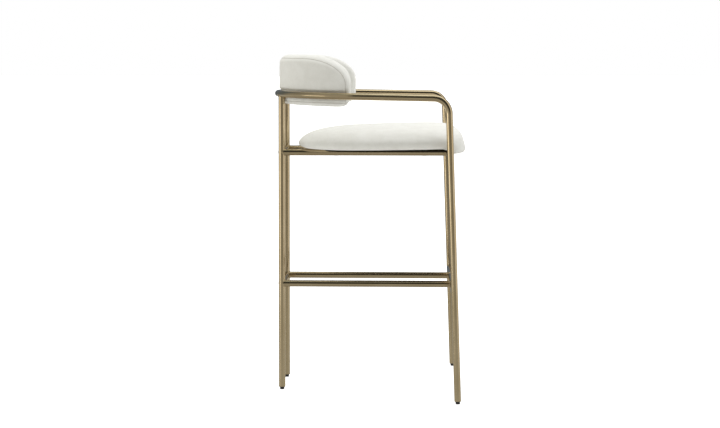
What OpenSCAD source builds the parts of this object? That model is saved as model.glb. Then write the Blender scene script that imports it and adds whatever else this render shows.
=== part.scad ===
// Bar stool with footrest: bent round tube frame, open arms, wrap-around back pad, domed seat.
// Axes: +Z up, the sitter faces -Y, +X is the sitter's left. Origin: centre of the footprint box.
// Depths are written as "reach": millimetres forward of the rearmost point of the back rail.

/* [Tube] */
// Outside diameter of every frame tube
tube_d = 19; // [16:0.5:22]
// Wall thickness of every frame tube
tube_wall = 1.5; // [1:0.1:2]

/* [Frame] */
// Radius of the back rail, to its centre line
back_radius = 245; // [210:5:280]
// Angle by which each arm opens outwards
arm_flare = 5; // [2:0.5:8]
// Straight length of each arm, between the back rail and the front bend
arm_length = 221; // [180:1:265]
// Radius of the bend from arm to front leg, to its centre line
bend_radius = 43; // [34:1:54]
// Downward slope of the rail and arms towards the front
rail_slope = 0.94; // [0:0.02:2]
// Forward lean of the front legs
front_leg_rake = 2; // [0:0.1:4]
// Backward lean of the rear legs
rear_leg_rake = 0.2; // [0:0.1:1]
// Distance between the rear legs, centre to centre
rear_leg_spacing = 176; // [140:2:212]
// Height of the seat rails' centre lines
seat_rail_height = 683.5; // [560:0.5:720]
// Height of the footrest's centre lines
foot_rail_height = 307.5; // [200:0.5:370]
// Height of the back rail's centre line, at the very back, above the seat rails'
rail_above_seat = 165.5; // [138:0.5:200]

/* [Feet] */
// Diameter of the glide where it meets the floor
glide_d = 12; // [9:0.5:14]
// Height of the glide below the tube's end
glide_height = 7; // [5:0.5:12]
// Length of the glide's plug inside the tube
glide_plug = 22; // [15:1:30]
// Thickness of the glide's collar under the tube's end
glide_collar = 1; // [0.8:0.1:2]

/* [Seat] */
// Gap between the back rail's centre line and the seat's rear edge
seat_rear_gap = 59; // [40:1:75]
// How far the seat reaches forward of the front legs' centre lines
seat_overhang = 48; // [38:1:58]
// Clear gap between the seat's side and a front leg
seat_leg_gap = 10; // [6:0.5:14]
// Share of the seat's depth that lies behind its widest line
seat_widest = 0.71; // [0.6:0.01:0.78]
// Height of the crown above the seat's flat underside
seat_rise = 64; // [52:1:77]
// How far the front edge hangs below the seat's flat underside
seat_lip_drop = 12; // [8:0.5:15]
// Distance from the front seat rail's centre line forward to the middle of the lip's roll
seat_lip_ahead = 23; // [21:0.5:26]
// Thickness of the seat board
seat_board_t = 12; // [9:0.5:15]
// Size of the board against the cushion's outline
seat_board_scale = 0.86; // [0.8:0.01:0.9]
// Thickness of the cover fabric
cover_t = 1.5; // [1:0.1:2]
// Thickness of the dust cloth under the seat
dust_cloth_t = 1; // [0.8:0.1:1.4]
// Height of the rear saddle pads above the seat rails
rear_saddle_rise = 1.5; // [1:0.1:3]
// Height of the front saddle pads above the seat rails
front_saddle_rise = 6; // [4:0.5:9]
// Diameter of a saddle pad
saddle_d = 18; // [15:0.5:18.5]
// Reach of the rear seat screws
rear_seat_screw_reach = 170; // [140:1:205]
// Reach of the front seat screws
front_seat_screw_reach = 420; // [350:1:430]

/* [Back pad] */
// Height of the pad above the rail's centre line
pad_above = 111; // [90:1:135]
// Depth of the pad below the rail's centre line
pad_below = 30; // [24:1:36]
// Thickness of the pad, front to back
pad_t = 47; // [39:1:56]
// How far the pad swells out over the rail's inner side
pad_swell = 6.5; // [4:0.5:8]
// Clear gap between the pad and the rear legs
pad_leg_gap = 1; // [0.5:0.1:2]
// Distance from each end of the back rail to the pad's front end
pad_setback = 11.5; // [5:0.5:40]
// Length of the elliptical corner at each end of the pad
pad_corner_length = 108; // [90:1:130]
// Height of the elliptical corner at each end of the pad
pad_corner_height = 80; // [66:1:90]
// Radius of the pad's rounded edges
pad_edge_r = 14; // [10:0.5:16]
// How far the seam between the two covers lies inside the pad's outer face
pad_seam_depth = 5; // [4:0.5:8]
// Thickness of the curved board inside the pad
pad_board_t = 10; // [8:0.5:12]
// Distance from the pad's outline to the board's edge
pad_board_inset = 16; // [13:0.5:20]
// Angle between neighbouring back screws
back_screw_pitch = 12; // [10:0.5:14]

/* [Screws] */
// Diameter of the screw threads
screw_d = 6; // [5:0.5:7]
// Clear gap between a screw and its hole, on the radius
screw_clearance = 0.3; // [0.2:0.05:0.5]
// Diameter of the screw heads
screw_head_d = 9.5; // [8:0.5:11]
// Height of the screw heads
screw_head_h = 4; // [3:0.5:5]
// Clear gap between a screw head and its access hole, on the radius
access_clearance = 0.75; // [0.5:0.05:1]
// Outside diameter of a tee nut's barrel
tee_barrel_d = 8; // [7.5:0.5:9]
// Diameter of a tee nut's flange
tee_flange_d = 19; // [16:0.5:22]
// Thickness of a tee nut's flange
tee_flange_t = 1.5; // [1:0.1:2]

/* [Hidden] */

// Colours
brass_colour = "#b9a37c";
cloth_colour = "#ecebe6";
black_colour = "#1c1b1a";
wood_colour = "#c9a97a";
foam_colour = "#e8dfb8";
zinc_colour = "#b8bcc0";

// Fineness of round shapes built as facets, of exact round shapes, and of long arcs
soft_fn = 32;
exact_fn = 48;
arc_fn = 120;

// Tube; fit_gap parts a piece from the bore it sits in, pass takes a cut right through a wall
tube_r = tube_d / 2;
bore_r = tube_r - tube_wall;
fit_gap = 0.05;
pass = 1;

// A tube's end stops this far short of the other tube's centre line, before it is cut to fit
end_relief = 2.5;

// The rail and arms lie in one sloping plane; each arm and its front leg lie in one upright plane
rail_height = seat_rail_height + rail_above_seat;
rail_sweep = 180 - 2 * arm_flare;
arm_heading = atan2(sin(arm_flare), cos(arm_flare) * cos(rail_slope));
arm_drop = asin(cos(arm_flare) * sin(rail_slope));
arc_end_x = back_radius * cos(arm_flare);
arc_end_in_plane = back_radius * (1 - sin(arm_flare));
arc_end_reach = arc_end_in_plane * cos(rail_slope);
arc_end_z = rail_height - arc_end_in_plane * sin(rail_slope);
bend_turn = 90 - arm_drop - front_leg_rake;
bend_tangent = bend_radius * tan(bend_turn / 2);
joint_plug_length = 20;

// Corner where an arm's line meets its leg's line, in the arm's own upright plane
corner_run = (arm_length + bend_tangent) * cos(arm_drop);
corner_z = arc_end_z - (arm_length + bend_tangent) * sin(arm_drop);

// A front leg's line at a height: run along the arm's plane, reach, and half spacing
function leg_run(z) = corner_run + (corner_z - z) * tan(front_leg_rake);
function front_leg_reach(z) = arc_end_reach + leg_run(z) * cos(arm_heading);
function front_leg_x(z) = arc_end_x + leg_run(z) * sin(arm_heading);

// A rear leg's line: it meets the back rail's centre line from below
rear_leg_x = rear_leg_spacing / 2;
rear_top_in_plane = back_radius - sqrt(pow(back_radius, 2) - pow(rear_leg_x, 2));
rear_top_reach = rear_top_in_plane * cos(rail_slope);
rear_top_z = rail_height - rear_top_in_plane * sin(rail_slope);
function rear_leg_reach(z) = rear_top_reach - (rear_top_z - z) * tan(rear_leg_rake);

// The legs' tubes start above the glides
leg_foot_z = glide_height + glide_collar;
front_tube_length = (corner_z - leg_foot_z) / cos(front_leg_rake) - bend_tangent;
rear_tube_length = (rear_top_z - leg_foot_z) / cos(rear_leg_rake);
glide_collar_r = tube_r - 0.3;
glide_edge = 0.8;

// Seat outline: a soft-cornered shape about the middle of its widest line
seat_front_reach = front_leg_reach(seat_rail_height) + seat_overhang;
seat_depth = seat_front_reach - seat_rear_gap;
seat_rear_half = seat_depth * seat_widest;
seat_front_half = seat_depth - seat_rear_half;
seat_focus_reach = seat_rear_gap + seat_rear_half;
seat_side_half = front_leg_x(seat_rail_height) - tube_r - seat_leg_gap;
seat_rear_power = 2.5;
seat_front_power = 3.6;
seat_points = 72;

// The seat's own frame: its flat underside, raised and tipped by the saddle pads
seat_screw_spread = front_seat_screw_reach - rear_seat_screw_reach;
seat_pitch = atan2(front_saddle_rise - rear_saddle_rise, seat_screw_spread);
seat_pivot_z = seat_rail_height + tube_r + rear_saddle_rise;
seat_screw_run = seat_screw_spread / cos(seat_pitch);
function saddle_rise(row) = row == 0 ? rear_saddle_rise : front_saddle_rise;
function seat_rail_below(row) = -(tube_r + saddle_rise(row)) / cos(seat_pitch);
saddle_wrap = 3;
seat_hem_z = dust_cloth_t;
seat_board_z = dust_cloth_t + cover_t;
hem_scale = seat_board_scale - 0.08;
cloth_scale = seat_board_scale - 0.04;

// The lip is a roll under the cushion's front edge
lip_r = seat_lip_drop - 1;
lip_setback = seat_overhang - seat_lip_ahead;
lip_half = seat_side_half * 0.8;
lip_root_z = seat_rise * 0.38;
lip_y = rear_seat_screw_reach - seat_front_reach + lip_setback;

// The cushion's cross-section: share of its height against share of its outline
cushion_levels = [[0, 0.9], [0.05, 0.955], [0.12, 0.99], [0.2, 1], [0.32, 0.985], [0.5, 0.925],
    [0.7, 0.82], [0.87, 0.66], [0.96, 0.47], [1, 0.2]];
level_t = 0.2;

// Overall depth, so that the origin is at the middle of the footprint
front_extent = max(seat_front_reach, front_leg_reach(leg_foot_z) + tube_r);
middle_reach = (front_extent - tube_r) / 2;
floor_size = 4 * front_extent;
function y_at(reach) = middle_reach - reach;

// Back pad, in the rail's plane: radii are from the centre of the back rail's arc
pad_outer_r = back_radius - tube_r + pad_swell;
pad_inner_r = pad_outer_r - pad_t;
pad_low_outer_r = back_radius - tube_r - pad_leg_gap;
pad_board_r = pad_inner_r + pad_t * 0.42;
pad_seam_r = pad_outer_r - pad_seam_depth;
pad_front = back_radius - arc_end_in_plane + pad_setback;
pad_swell_start = tube_r + 1;
corner_steps = 4;
ellipse_steps = 14;

// Screws sit with their heads inside the tubes; the back's nuts sit just under the board's curved face
head_seat = sqrt(pow(bore_r, 2) - pow(screw_head_d / 2, 2));
screw_hole_r = screw_d / 2 + screw_clearance;
access_r = screw_head_d / 2 + access_clearance;
pad_nut_z = back_radius - pad_board_r - 0.3;

// ---------- Placing ----------

// The left piece as it is, or its mirror image on the right
module on_side(side) {
    if (side > 0)
        children();
    else
        mirror([1, 0, 0])
            children();
}

// The rail's sloping plane, with the arc's centre at the origin and the rear at +Y
module in_rail_plane() {
    translate([0, y_at(0), rail_height])
        rotate([rail_slope, 0, 0])
            translate([0, -back_radius, 0])
                children();
}

// The upright plane of the left arm, from the end of the back rail: -Y runs forward along the arm
module in_arm_plane() {
    translate([arc_end_x, y_at(arc_end_reach), arc_end_z])
        rotate([0, 0, arm_heading])
            children();
}

// The end of the left front leg's tube, with +Z up along the leg
module at_front_foot() {
    in_arm_plane()
        translate([0, -leg_run(leg_foot_z), leg_foot_z - arc_end_z])
            rotate([-front_leg_rake, 0, 0])
                children();
}

// The end of the left rear leg's tube, with +Z up along the leg
module at_rear_foot() {
    translate([rear_leg_x, y_at(rear_leg_reach(leg_foot_z)), leg_foot_z])
        rotate([rear_leg_rake, 0, 0])
            children();
}

// The seat's frame, with its origin on the rear screws' line
module in_seat_frame() {
    translate([0, y_at(rear_seat_screw_reach), seat_pivot_z])
        rotate([-seat_pitch, 0, 0])
            children();
}

// The seat screws' places in the seat's frame, at the seat rails' centre lines; row 0 is the rear pair
module at_seat_screws(rows) {
    for (row = rows, side = [-1, 1])
        translate([side * rear_leg_x, -row * seat_screw_run, seat_rail_below(row)])
            children();
}

// The back screws' places in the rail's plane: +Z points inwards from the rail's centre line
module at_back_screws() {
    for (k = [-1, 0, 1])
        rotate([0, 0, 90 + k * back_screw_pitch])
            translate([back_radius, 0, 0])
                rotate([0, -90, 0])
                    children();
}

// ---------- Shapes that repeat ----------

module tube_section() {
    difference() {
        circle(r = tube_r, $fn = exact_fn);
        circle(r = bore_r, $fn = exact_fn);
    }
}

module straight_tube(length) {
    linear_extrude(height = length)
        tube_section();
}

module rod(length, r) {
    cylinder(h = length, r = r, $fn = exact_fn);
}

// Part of the back rail's arc, in the rail's plane: a profile on the centre line, swept between two angles
module on_back_arc(from, sweep) {
    rotate([0, 0, from])
        rotate_extrude(angle = sweep, $fn = arc_fn)
            translate([back_radius, 0])
                children();
}

// Solid outer shapes of the tubes, which other tubes' ends are cut to fit
module back_rail_solid() {
    in_rail_plane()
        on_back_arc(arm_flare, rail_sweep)
            circle(r = tube_r, $fn = exact_fn);
}

module front_leg_solids() {
    for (side = [-1, 1])
        on_side(side)
            at_front_foot()
                rod(front_tube_length, tube_r);
}

module rear_leg_solids() {
    for (side = [-1, 1])
        on_side(side)
            at_rear_foot()
                rod(rear_tube_length, tube_r);
}

module cross_rail_solid(z) {
    translate([-front_leg_x(z), y_at(front_leg_reach(z)), z])
        rotate([0, 90, 0])
            rod(2 * front_leg_x(z), tube_r);
}

// Solid outer shapes of both side rails at a height
module side_rail_solids(z) {
    for (side = [-1, 1])
        translate([side * rear_leg_x, y_at(rear_leg_reach(z)), z])
            rotate([90, 0, 0])
                rod(front_leg_reach(z) - rear_leg_reach(z), tube_r);
}

// A left side rail at a height: from the rear leg to the front cross rail, its ends cut to fit both
module side_rail(z) {
    difference() {
        translate([rear_leg_x, y_at(rear_leg_reach(z)) - end_relief, z])
            rotate([90, 0, 0])
                straight_tube(front_leg_reach(z) - rear_leg_reach(z) - 2 * end_relief);
        rear_leg_solids();
        cross_rail_solid(z);
    }
}

// A cross tube at a height and reach, between two half spacings
module cross_tube(half, reach, z) {
    translate([-half + end_relief, y_at(reach), z])
        rotate([0, 90, 0])
            straight_tube(2 * (half - end_relief));
}

module front_cross_rail(z) {
    difference() {
        cross_tube(front_leg_x(z), front_leg_reach(z), z);
        front_leg_solids();
    }
}

module rear_cross_rail(z) {
    difference() {
        cross_tube(rear_leg_x, rear_leg_reach(z), z);
        rear_leg_solids();
        side_rail_solids(z);
    }
}

// A glide under a tube's end: plug up the bore, collar under the wall, tapered foot cut flat at the floor
module glide_profile() {
    polygon([
        [0, -glide_collar - glide_height - pass],
        [glide_d / 2, -glide_collar - glide_height - pass],
        [glide_d / 2, -glide_collar - glide_height + glide_edge],
        [glide_d / 2 + glide_edge, -glide_collar],
        [glide_collar_r, -glide_collar],
        [glide_collar_r, 0],
        [bore_r - fit_gap, 0],
        [bore_r - fit_gap, glide_plug],
        [0, glide_plug]
    ]);
}

module glide() {
    rotate_extrude($fn = exact_fn)
        glide_profile();
}

module above_floor() {
    intersection() {
        children();
        translate([-floor_size / 2, -floor_size / 2, 0])
            cube([floor_size, floor_size, rail_height]);
    }
}

// A pan-headed screw: its head's bearing face is at the origin and its shank runs up +Z
module screw(length) {
    translate([0, 0, -screw_head_h])
        rod(screw_head_h, screw_head_d / 2);
    rod(length, screw_d / 2);
}

// A tee nut: its flange's outer face is at the origin and its barrel runs down -Z
module tee_nut(barrel) {
    difference() {
        union() {
            translate([0, 0, -tee_flange_t])
                rod(tee_flange_t, tee_flange_d / 2);
            translate([0, 0, -tee_flange_t - barrel])
                rod(barrel, tee_barrel_d / 2);
        }
        translate([0, 0, -tee_flange_t - barrel - pass])
            rod(tee_flange_t + barrel + 2 * pass, screw_d / 2 + fit_gap);
    }
}

// ---------- Frame ----------

module back_rail() {
    color(brass_colour)
        in_rail_plane()
            difference() {
                on_back_arc(arm_flare, rail_sweep)
                    rotate(45)
                        tube_section();
                at_back_screws() {
                    translate([0, 0, -tube_r - pass])
                        rod(tube_r, access_r);
                    translate([0, 0, pass])
                        rod(tube_r, screw_hole_r);
                }
            }
}

module arm_and_leg() {
    color(brass_colour) {
        in_arm_plane()
            rotate([arm_drop, 0, 0]) {
                rotate([90, 0, 0])
                    straight_tube(arm_length);
                translate([0, -arm_length, -bend_radius]) {
                    rotate([0, -90, 180])
                        rotate_extrude(angle = bend_turn, $fn = arc_fn)
                            translate([bend_radius, 0])
                                tube_section();
                    rotate([bend_turn, 0, 0])
                        translate([0, 0, bend_radius])
                            rotate([90, 0, 0])
                                straight_tube(front_tube_length);
                }
            }
    }
}

module left_arm_and_leg() {
    arm_and_leg();
}

module right_arm_and_leg() {
    on_side(-1)
        arm_and_leg();
}

module joint_plug() {
    color(zinc_colour)
        in_rail_plane()
            rotate([0, 0, arm_flare]) {
                on_back_arc(0, joint_plug_length / back_radius * 180 / PI)
                    circle(r = bore_r - fit_gap, $fn = exact_fn);
                translate([back_radius, 0, 0])
                    rotate([90, 0, 0])
                        rod(joint_plug_length, bore_r - fit_gap);
            }
}

module left_joint_plug() {
    joint_plug();
}

module right_joint_plug() {
    on_side(-1)
        joint_plug();
}

module rear_leg() {
    color(brass_colour)
        difference() {
            at_rear_foot()
                straight_tube(rear_tube_length - end_relief);
            back_rail_solid();
        }
}

module left_rear_leg() {
    rear_leg();
}

module right_rear_leg() {
    on_side(-1)
        rear_leg();
}

module seat_rail() {
    color(brass_colour)
        difference() {
            side_rail(seat_rail_height);
            in_seat_frame()
                at_seat_screws([0, 1]) {
                    translate([0, 0, -tube_r - pass])
                        rod(tube_r + pass, access_r);
                    rod(tube_r + pass, screw_hole_r);
                }
        }
}

module left_seat_rail() {
    seat_rail();
}

module right_seat_rail() {
    on_side(-1)
        seat_rail();
}

module front_seat_rail() {
    color(brass_colour)
        front_cross_rail(seat_rail_height);
}

module rear_seat_rail() {
    color(brass_colour)
        rear_cross_rail(seat_rail_height);
}

module left_foot_rail() {
    color(brass_colour)
        side_rail(foot_rail_height);
}

module right_foot_rail() {
    on_side(-1)
        left_foot_rail();
}

module front_foot_rail() {
    color(brass_colour)
        front_cross_rail(foot_rail_height);
}

module rear_foot_rail() {
    color(brass_colour)
        rear_cross_rail(foot_rail_height);
}

// ---------- Feet ----------

module front_left_glide() {
    color(black_colour)
        above_floor()
            at_front_foot()
                glide();
}

module front_right_glide() {
    on_side(-1)
        front_left_glide();
}

module rear_left_glide() {
    color(black_colour)
        above_floor()
            at_rear_foot()
                glide();
}

module rear_right_glide() {
    on_side(-1)
        rear_left_glide();
}

// ---------- Seat ----------

// The seat's outline at a size: rounder behind its widest line, squarer in front of it
function bowed(v, power) = sign(v) * pow(abs(v), 2 / power);
function oval_point(a, half_depth, power) =
    [seat_side_half * bowed(cos(a), power), half_depth * bowed(sin(a), power)];
function outline_point(a) = sin(a) > 0
    ? oval_point(a, seat_rear_half, seat_rear_power)
    : oval_point(a, seat_front_half, seat_front_power);

module seat_outline(size) {
    translate([0, rear_seat_screw_reach - seat_focus_reach])
        polygon([for (i = [0 : seat_points - 1]) size * outline_point(360 * i / seat_points)]);
}

module seat_slab(z, thickness, size) {
    translate([0, 0, z])
        linear_extrude(height = thickness)
            seat_outline(size);
}

// The domed body of the cushion, taken in by an inset
module cushion_dome(inset) {
    hull()
        for (level = cushion_levels)
            seat_slab(
                seat_hem_z + inset + level[0] * (seat_rise - seat_hem_z - 2 * inset),
                level_t,
                level[1] - inset / seat_side_half
            );
}

// The front lip that hangs in front of the front seat rail
module cushion_lip(inset) {
    hull() {
        translate([-lip_half + inset, lip_y, lip_r - seat_lip_drop])
            rotate([0, 90, 0])
                cylinder(h = 2 * (lip_half - inset), r = lip_r - inset, $fn = soft_fn);
        translate([0, 0, lip_root_z])
            linear_extrude(height = level_t)
                intersection() {
                    seat_outline(0.98 - inset / seat_side_half);
                    translate([-lip_half, lip_y - 2 * lip_setback])
                        square([2 * lip_half, 2 * lip_setback + lip_r]);
                }
    }
}

// Keeps what lies behind the lip
module behind_lip() {
    intersection() {
        children();
        translate([-seat_side_half, lip_y + lip_r + fit_gap, -seat_rise])
            cube([2 * seat_side_half, seat_depth, 3 * seat_rise]);
    }
}

module cushion(inset) {
    cushion_dome(inset);
    cushion_lip(inset);
}

module seat_board() {
    color(wood_colour)
        in_seat_frame()
            difference() {
                seat_slab(seat_board_z, seat_board_t, seat_board_scale);
                for (row = [0, 1], side = [-1, 1])
                    translate([side * rear_leg_x, -row * seat_screw_run, seat_board_z]) {
                        translate([0, 0, -pass])
                            rod(seat_board_t + 2 * pass, tee_barrel_d / 2 + fit_gap);
                        translate([0, 0, seat_board_t - tee_flange_t])
                            rod(tee_flange_t + pass, tee_flange_d / 2 + fit_gap);
                    }
            }
}

module seat_foam() {
    color(foam_colour)
        in_seat_frame()
            difference() {
                cushion(cover_t);
                seat_slab(seat_board_z - pass, seat_board_t + pass, seat_board_scale);
            }
}

module seat_cover() {
    color(cloth_colour)
        in_seat_frame()
            difference() {
                cushion(0);
                cushion(cover_t);
                behind_lip()
                    seat_slab(seat_hem_z - pass, cover_t + 2 * pass, hem_scale);
            }
}

module seat_dust_cloth() {
    color(black_colour)
        in_seat_frame()
            difference() {
                behind_lip()
                    seat_slab(0, dust_cloth_t, cloth_scale);
                at_seat_screws([0, 1])
                    rod(seat_rise, screw_hole_r);
            }
}

module saddle_pads(row) {
    color(black_colour)
        difference() {
            in_seat_frame()
                for (side = [-1, 1])
                    translate([side * rear_leg_x, -row * seat_screw_run, -saddle_rise(row) - saddle_wrap])
                        rod(saddle_rise(row) + saddle_wrap, saddle_d / 2);
            for (side = [-1, 1])
                translate([side * rear_leg_x, y_at(0), seat_rail_height])
                    rotate([90, 0, 0])
                        rod(seat_front_reach, tube_r);
            in_seat_frame()
                at_seat_screws([row])
                    rod(seat_rise, screw_hole_r);
        }
}

module front_saddle_pads() {
    saddle_pads(1);
}

module rear_saddle_pads() {
    saddle_pads(0);
}

module seat_screws() {
    color(zinc_colour)
        in_seat_frame()
            for (row = [0, 1])
                at_seat_screws([row])
                    translate([0, 0, head_seat])
                        screw(seat_board_z + seat_board_t - tee_flange_t - seat_rail_below(row) - head_seat);
}

module seat_tee_nuts() {
    color(zinc_colour)
        in_seat_frame()
            for (row = [0, 1], side = [-1, 1])
                translate([side * rear_leg_x, -row * seat_screw_run, seat_board_z + seat_board_t])
                    tee_nut(seat_board_t - tee_flange_t - pass);
}

// ---------- Back pad ----------

// Points round one corner of an outline: about a centre, from one angle through a quarter turn
function corner(centre, r, from) = [
    for (i = [0 : corner_steps])
        let (a = from + 90 * i / corner_steps)
            centre + r * [cos(a), sin(a)]
];

// The pad's cross-section on the radius, taken in by an inset: it swells outwards above the rail
module pad_section(inset) {
    r = pad_edge_r - inset;
    inner = pad_inner_r + pad_edge_r;
    low = pad_edge_r - pad_below;
    top = pad_above - pad_edge_r;
    polygon(concat(
        corner([inner, low], r, 180),
        corner([pad_low_outer_r - pad_edge_r, low], r, 270),
        [[pad_low_outer_r - inset, pad_swell_start], [pad_outer_r - inset, pad_swell_start + pad_swell]],
        corner([pad_outer_r - pad_edge_r, top], r, 0),
        corner([inner, top], r, 90)
    ));
}

// The pad seen from the side, taken in by an inset: a long elliptical corner above, a small one below
module pad_side(inset) {
    front = pad_front + inset;
    top = pad_above - inset;
    bottom = inset - pad_below;
    low_r = max(pad_edge_r - inset, 2);
    far = back_radius + 2 * tube_r;
    length = pad_corner_length - inset;
    height = pad_corner_height - inset;
    rotate([90, 0, 90])
        linear_extrude(height = 2 * far, center = true)
            polygon(concat(
                [[far, top], [far, bottom]],
                [for (i = [0 : corner_steps])
                    [front + low_r * (1 - sin(90 * i / corner_steps)),
                        bottom + low_r * (1 - cos(90 * i / corner_steps))]],
                [for (i = [0 : ellipse_steps])
                    [front + length * (1 - cos(90 * i / ellipse_steps)),
                        top - height * (1 - sin(90 * i / ellipse_steps))]]
            ));
}

module half_turn() {
    rotate_extrude(angle = 180, $fn = arc_fn)
        children();
}

module pad_shape(inset) {
    intersection() {
        half_turn()
            pad_section(inset);
        pad_side(inset);
    }
}

// Everything nearer the arc's centre than a radius
module inside_radius(r) {
    translate([0, 0, -rail_height / 2])
        cylinder(h = rail_height, r = r, $fn = arc_fn);
}

module back_screw_holes(r) {
    at_back_screws()
        rod(pad_t + tube_r, r);
}

module pad_board_shape() {
    intersection() {
        half_turn()
            translate([pad_board_r, pad_board_inset - pad_below])
                square([pad_board_t, pad_above + pad_below - 2 * pad_board_inset]);
        pad_side(pad_board_inset);
    }
}

module back_board() {
    color(wood_colour)
        in_rail_plane()
            difference() {
                pad_board_shape();
                back_screw_holes(tee_barrel_d / 2 + fit_gap);
                at_back_screws()
                    translate([0, 0, pad_nut_z - tee_flange_t])
                        rod(pad_t, tee_flange_d / 2 + fit_gap);
            }
}

module back_front_foam() {
    color(foam_colour)
        in_rail_plane()
            intersection() {
                pad_shape(cover_t);
                inside_radius(pad_board_r);
            }
}

module back_rear_foam() {
    color(foam_colour)
        in_rail_plane()
            difference() {
                pad_shape(cover_t);
                inside_radius(pad_board_r);
                pad_board_shape();
                back_screw_holes(screw_hole_r);
            }
}

module pad_cover_shell() {
    difference() {
        pad_shape(0);
        pad_shape(cover_t);
        back_screw_holes(screw_hole_r);
    }
}

module back_front_cover() {
    color(cloth_colour)
        in_rail_plane()
            intersection() {
                pad_cover_shell();
                inside_radius(pad_seam_r);
            }
}

module back_rear_cover() {
    color(cloth_colour)
        in_rail_plane()
            difference() {
                pad_cover_shell();
                inside_radius(pad_seam_r);
            }
}

module back_screws() {
    color(zinc_colour)
        in_rail_plane()
            at_back_screws()
                translate([0, 0, head_seat])
                    screw(pad_nut_z - tee_flange_t - head_seat);
}

module back_tee_nuts() {
    color(zinc_colour)
        in_rail_plane()
            at_back_screws()
                translate([0, 0, pad_nut_z])
                    tee_nut(pad_board_t - tee_flange_t - pass);
}

back_rail();
left_arm_and_leg();
right_arm_and_leg();
left_joint_plug();
right_joint_plug();
left_rear_leg();
right_rear_leg();
left_seat_rail();
right_seat_rail();
front_seat_rail();
rear_seat_rail();
left_foot_rail();
right_foot_rail();
front_foot_rail();
rear_foot_rail();
front_left_glide();
front_right_glide();
rear_left_glide();
rear_right_glide();
seat_board();
seat_foam();
seat_cover();
seat_dust_cloth();
front_saddle_pads();
rear_saddle_pads();
seat_screws();
seat_tee_nuts();
back_board();
back_front_foam();
back_rear_foam();
back_front_cover();
back_rear_cover();
back_screws();
back_tee_nuts();
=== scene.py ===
"""The looks of the bar stool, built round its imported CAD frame. Lengths are in metres.

+Z is up, the sitter faces -Y and +X is the sitter's left. "Reach" is a distance forward of the
rearmost point of the back rail's centre line.
"""

import math

import bpy
import numpy as np
from mathutils import Matrix, Vector
from mathutils.bvhtree import BVHTree


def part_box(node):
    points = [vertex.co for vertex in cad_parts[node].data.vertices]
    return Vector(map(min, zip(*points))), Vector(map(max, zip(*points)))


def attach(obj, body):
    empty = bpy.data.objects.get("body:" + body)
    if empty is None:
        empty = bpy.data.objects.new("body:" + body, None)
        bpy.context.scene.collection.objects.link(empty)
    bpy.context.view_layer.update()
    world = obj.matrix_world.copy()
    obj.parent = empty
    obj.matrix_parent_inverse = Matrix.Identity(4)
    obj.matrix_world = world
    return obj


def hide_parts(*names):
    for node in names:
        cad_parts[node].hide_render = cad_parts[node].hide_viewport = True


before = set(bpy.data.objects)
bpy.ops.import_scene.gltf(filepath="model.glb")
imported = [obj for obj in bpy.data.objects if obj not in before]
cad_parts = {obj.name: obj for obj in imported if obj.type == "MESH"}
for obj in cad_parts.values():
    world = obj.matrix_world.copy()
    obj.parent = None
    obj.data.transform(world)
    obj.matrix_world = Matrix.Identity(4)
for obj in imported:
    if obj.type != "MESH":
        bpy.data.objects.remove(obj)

scene = bpy.context.scene
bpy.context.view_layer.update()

# ---------- Sizes taken from the frame ----------

TUBE_R = (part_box("left_foot_rail")[1].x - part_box("left_foot_rail")[0].x) / 2
RAIL_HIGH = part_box("back_rail")[1]
REAR_Y = RAIL_HIGH.y - TUBE_R
RAIL_Z = RAIL_HIGH.z - TUBE_R
# No box shows these two: the radius of the back rail's centre line, and its slope down to the front
BACK_R = 0.245
RAIL_SLOPE = math.radians(0.94)

SEAT_LOW, SEAT_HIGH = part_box("seat_cover")
REAR_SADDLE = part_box("rear_saddle_pads")
FRONT_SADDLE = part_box("front_saddle_pads")
PIVOT_Y = (REAR_SADDLE[0].y + REAR_SADDLE[1].y) / 2
REAR_SADDLE_RISE = 0.0015
PIVOT_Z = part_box("left_seat_rail")[1].z + REAR_SADDLE_RISE
SADDLE_RUN = REAR_SADDLE[0].y - FRONT_SADDLE[0].y
SEAT_PITCH = math.atan2(FRONT_SADDLE[1].z - REAR_SADDLE[1].z, SADDLE_RUN)

# From the seat's own tilted plane, and from the middle of the back rail's arc, to the frame
to_seat = Matrix.Translation((0, PIVOT_Y, PIVOT_Z)) @ Matrix.Rotation(-SEAT_PITCH, 4, "X")
to_rail = (
    Matrix.Translation((0, REAR_Y, RAIL_Z))
    @ Matrix.Rotation(RAIL_SLOPE, 4, "X")
    @ Matrix.Translation((0, -BACK_R, 0))
)


# ---------- Small helpers ----------

def new_mesh(name, verts, faces):
    mesh = bpy.data.meshes.new(name)
    mesh.from_pydata([tuple(v) for v in verts], [], [tuple(f) for f in faces])
    mesh.update()
    piece = bpy.data.objects.new(name, mesh)
    scene.collection.objects.link(piece)
    return piece


def get_points(mesh):
    co = np.empty(len(mesh.vertices) * 3)
    mesh.vertices.foreach_get("co", co)
    return co.reshape(-1, 3)


def set_points(mesh, points):
    mesh.vertices.foreach_set("co", np.asarray(points).ravel())
    mesh.update()


def smooth_shading(piece):
    piece.data.polygons.foreach_set("use_smooth", [True] * len(piece.data.polygons))


def apply_modifier(piece, modifier):
    """Puts a modifier's result into the mesh."""
    graph = bpy.context.evaluated_depsgraph_get()
    graph.update()
    mesh = bpy.data.meshes.new_from_object(piece.evaluated_get(graph))
    old = piece.data
    piece.modifiers.remove(modifier)
    piece.data = mesh
    mesh.name = old.name
    bpy.data.meshes.remove(old)


def remesh(piece, voxel):
    modifier = piece.modifiers.new("remesh", "REMESH")
    modifier.mode = "VOXEL"
    modifier.voxel_size = voxel
    apply_modifier(piece, modifier)


def relax(piece, times, factor=0.5):
    modifier = piece.modifiers.new("relax", "SMOOTH")
    modifier.iterations = times
    modifier.factor = factor
    apply_modifier(piece, modifier)


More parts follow.
